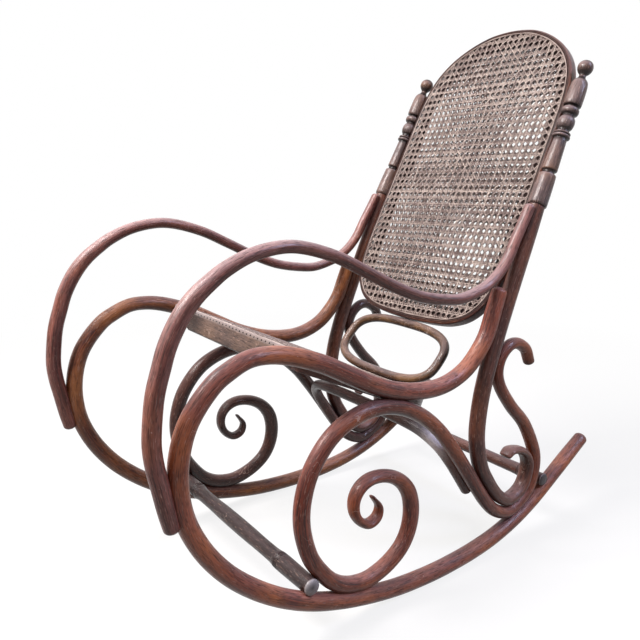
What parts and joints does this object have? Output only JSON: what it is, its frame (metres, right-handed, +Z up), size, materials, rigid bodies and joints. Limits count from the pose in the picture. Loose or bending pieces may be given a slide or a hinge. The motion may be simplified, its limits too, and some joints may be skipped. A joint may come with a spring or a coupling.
{
  "type": "bentwood rocking chair",
  "caption": "Bentwood rocking chair with scrolled side frames, a tall caned back between turned posts, a sloping caned seat and long rockers.",
  "frame": {"origin": "on the floor, under the middle of the bounding box", "axes": "+Z up, +X towards the sitter's left, -Y towards the front, where the sitter's feet are"},
  "size_m": [0.5322, 1.0678, 1.0999],
  "materials": {
    "bent_wood": "steam-bent beech, reddish brown stain under worn varnish, semi-gloss",
    "turned_wood": "turned beech, reddish brown stain under worn varnish, semi-gloss",
    "sawn_wood": "sawn beech board, reddish brown stain under worn varnish, satin",
    "plain_wood": "unstained beech dowel",
    "cane": "hand-woven cane, aged, satin",
    "screw_steel": "steel wood screw, darkened with age"
  },
  "bodies": {
    "root": {"rocker_rail_left": "bent_wood", "rocker_rail_right": "bent_wood", "scroll_left": "bent_wood", "scroll_right": "bent_wood", "rear_post_left": "bent_wood", "rear_post_right": "bent_wood", "armrest_left": "bent_wood", "armrest_right": "bent_wood", "turned_post_left": "turned_wood", "turned_post_right": "turned_wood", "back_hoop": "bent_wood", "back_cane_front": "cane", "back_cane_rear": "cane", "oval_ring": "bent_wood", "seat_rim": "bent_wood", "seat_front_rail": "sawn_wood", "seat_cane": "cane", "arch_brace": "bent_wood", "front_stretcher": "turned_wood", "rear_stretcher": "turned_wood", "post_dowel_left": "plain_wood", "post_dowel_right": "plain_wood", "arm_rail_screw_1_left": "screw_steel", "arm_rail_screw_1_right": "screw_steel", "arm_rail_screw_2_left": "screw_steel", "arm_rail_screw_2_right": "screw_steel", "arm_post_screw_left": "screw_steel", "arm_post_screw_right": "screw_steel", "rail_post_screw_1_left": "screw_steel", "rail_post_screw_1_right": "screw_steel", "rail_post_screw_2_left": "screw_steel", "rail_post_screw_2_right": "screw_steel", "scroll_rail_screw_left": "screw_steel", "scroll_rail_screw_right": "screw_steel", "scroll_rocker_screw_1_left": "screw_steel", "scroll_rocker_screw_1_right": "screw_steel", "scroll_rocker_screw_2_left": "screw_steel", "scroll_rocker_screw_2_right": "screw_steel", "scroll_post_screw_left": "screw_steel", "scroll_post_screw_right": "screw_steel", "curl_screw_left": "screw_steel", "curl_screw_right": "screw_steel", "hoop_post_screw_1_left": "screw_steel", "hoop_post_screw_1_right": "screw_steel", "hoop_post_screw_2_left": "screw_steel", "hoop_post_screw_2_right": "screw_steel", "seat_rail_screw_1_left": "screw_steel", "seat_rail_screw_1_right": "screw_steel", "seat_rail_screw_2_left": "screw_steel", "seat_rail_screw_2_right": "screw_steel", "brace_screw_left": "screw_steel", "brace_screw_right": "screw_steel", "stretcher_screw_1_left": "screw_steel", "stretcher_screw_1_right": "screw_steel", "stretcher_screw_2_left": "screw_steel", "stretcher_screw_2_right": "screw_steel", "ring_screw_1": "screw_steel", "ring_screw_2": "screw_steel"}
  },
  "joints": []
}
